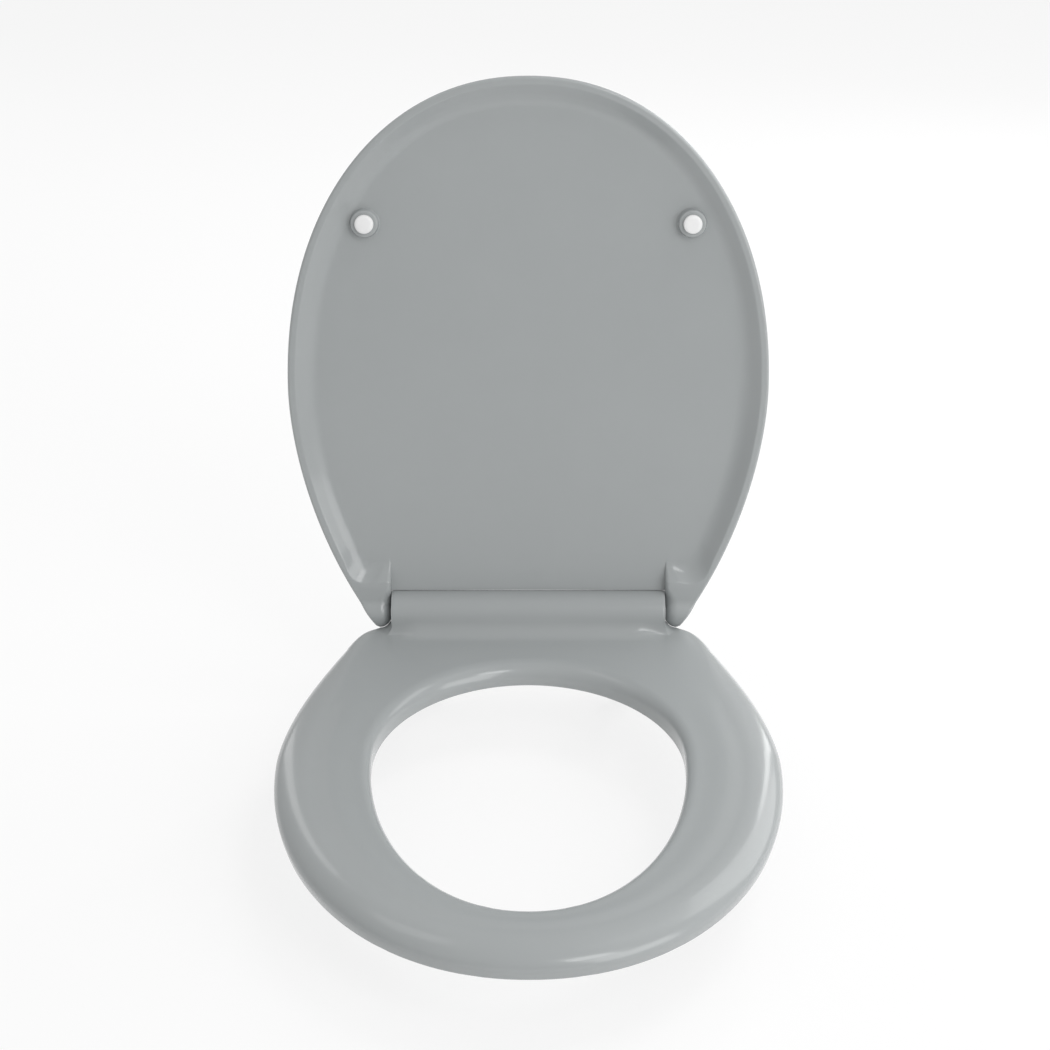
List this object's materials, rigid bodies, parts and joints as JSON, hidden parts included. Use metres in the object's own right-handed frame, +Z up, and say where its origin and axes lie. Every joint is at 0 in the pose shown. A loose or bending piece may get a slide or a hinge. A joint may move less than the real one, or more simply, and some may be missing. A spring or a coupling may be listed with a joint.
{
  "type": "toilet seat",
  "caption": "Oval toilet seat ring with a dished lid, both turning on pins at two rear hinges that bolt through the pan.",
  "frame": {"origin": "midway between the two fixing bolts, on top of the pan", "axes": "+X to the user's right facing the pan, +Y to the rear (cistern), +Z up; the ring reaches forward along -Y"},
  "size_m": [0.3778, 0.5136, 0.5058],
  "materials": {
    "duroplast": "glossy moulded thermoset",
    "buffer_white": "satin",
    "post_plastic": "satin",
    "bush_plastic": "satin",
    "steel": "turned",
    "soft_rubber": "matt"
  },
  "bodies": {
    "mounting": {"hinge_post_left": "post_plastic", "hinge_post_right": "post_plastic", "hinge_pin_left": "steel", "hinge_pin_right": "steel", "base_gasket_left": "soft_rubber", "base_gasket_right": "soft_rubber", "fixing_stud_left": "steel", "fixing_stud_right": "steel", "cone_washer_left": "soft_rubber", "cone_washer_right": "soft_rubber", "wing_nut_left": "post_plastic", "wing_nut_right": "post_plastic"},
    "ring": {"seat_ring": "duroplast", "hinge_barrel": "duroplast", "ring_buffer_front_left": "soft_rubber", "ring_buffer_front_right": "soft_rubber", "ring_buffer_rear_left": "soft_rubber", "ring_buffer_rear_right": "soft_rubber", "ring_bush_inner_left": "bush_plastic", "ring_bush_inner_right": "bush_plastic", "ring_bush_outer_left": "bush_plastic", "ring_bush_outer_right": "bush_plastic"},
    "lid": {"lid": "duroplast", "lid_lug_left": "duroplast", "lid_lug_right": "duroplast", "lid_buffer_left": "buffer_white", "lid_buffer_right": "buffer_white", "lid_bush_left": "bush_plastic", "lid_bush_right": "bush_plastic"}
  },
  "joints": [
    {"name": "ring_hinge", "type": "hinge", "parent": "mounting", "child": "ring", "pos_m": [0, 0, 0.0345], "axis": [-1, 0, 0], "range_deg": [0, 101]},
    {"name": "lid_hinge", "type": "hinge", "parent": "mounting", "child": "lid", "pos_m": [0, 0, 0.0345], "axis": [-1, 0, 0], "range_deg": [-101, 0]}
  ]
}
